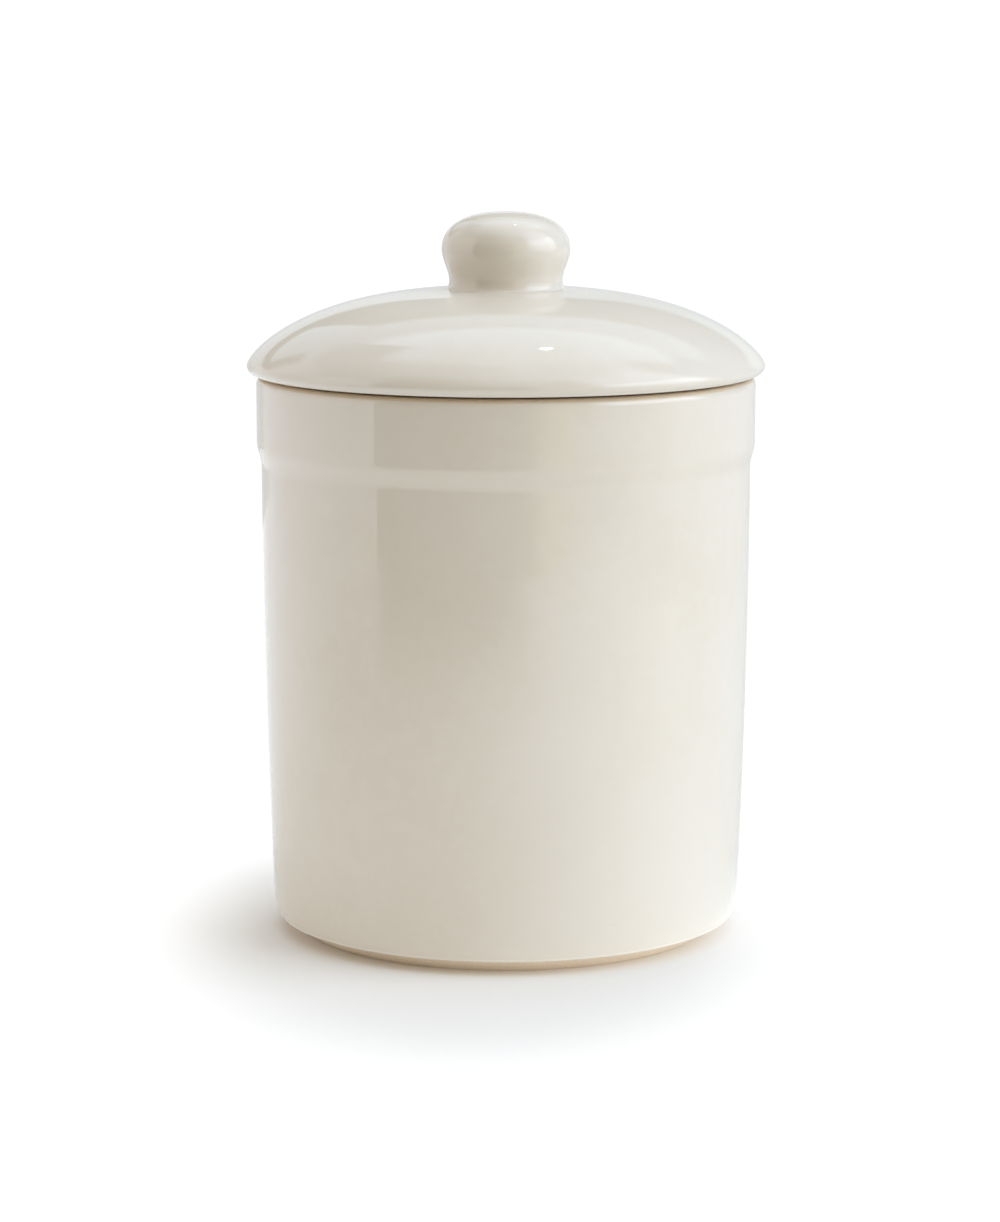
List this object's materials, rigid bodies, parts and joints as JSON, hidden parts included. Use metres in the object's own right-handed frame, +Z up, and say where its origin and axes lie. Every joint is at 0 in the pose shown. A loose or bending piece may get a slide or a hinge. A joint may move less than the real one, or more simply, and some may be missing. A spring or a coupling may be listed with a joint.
{
  "type": "sourdough starter jar",
  "caption": "Round lidded stoneware jar with a raised collar at its mouth, a domed lift-off lid with a locating flange, and a mushroom knob.",
  "frame": {"origin": "centre of the foot ring's contact face, on the jar's axis, at table height", "axes": "+Z up along the jar's axis, towards the knob; the jar is round, so X and Y are interchangeable, and the reference view looks along +Y"},
  "size_m": [0.1178, 0.1178, 0.1645],
  "materials": {
    "cream_glaze": "glossy warm ivory glaze over tan stoneware, bare clay at the foot, the rim's land and the lid's seat"
  },
  "bodies": {
    "jar": {"jar_body": "cream_glaze"},
    "lid_with_knob": {"lid": "cream_glaze", "lid_knob": "cream_glaze"}
  },
  "joints": [
    {"name": "lid_lift", "type": "slide", "parent": "jar", "child": "lid_with_knob", "axis": [0, 0, 1], "range_m": [0, 0.12]}
  ]
}
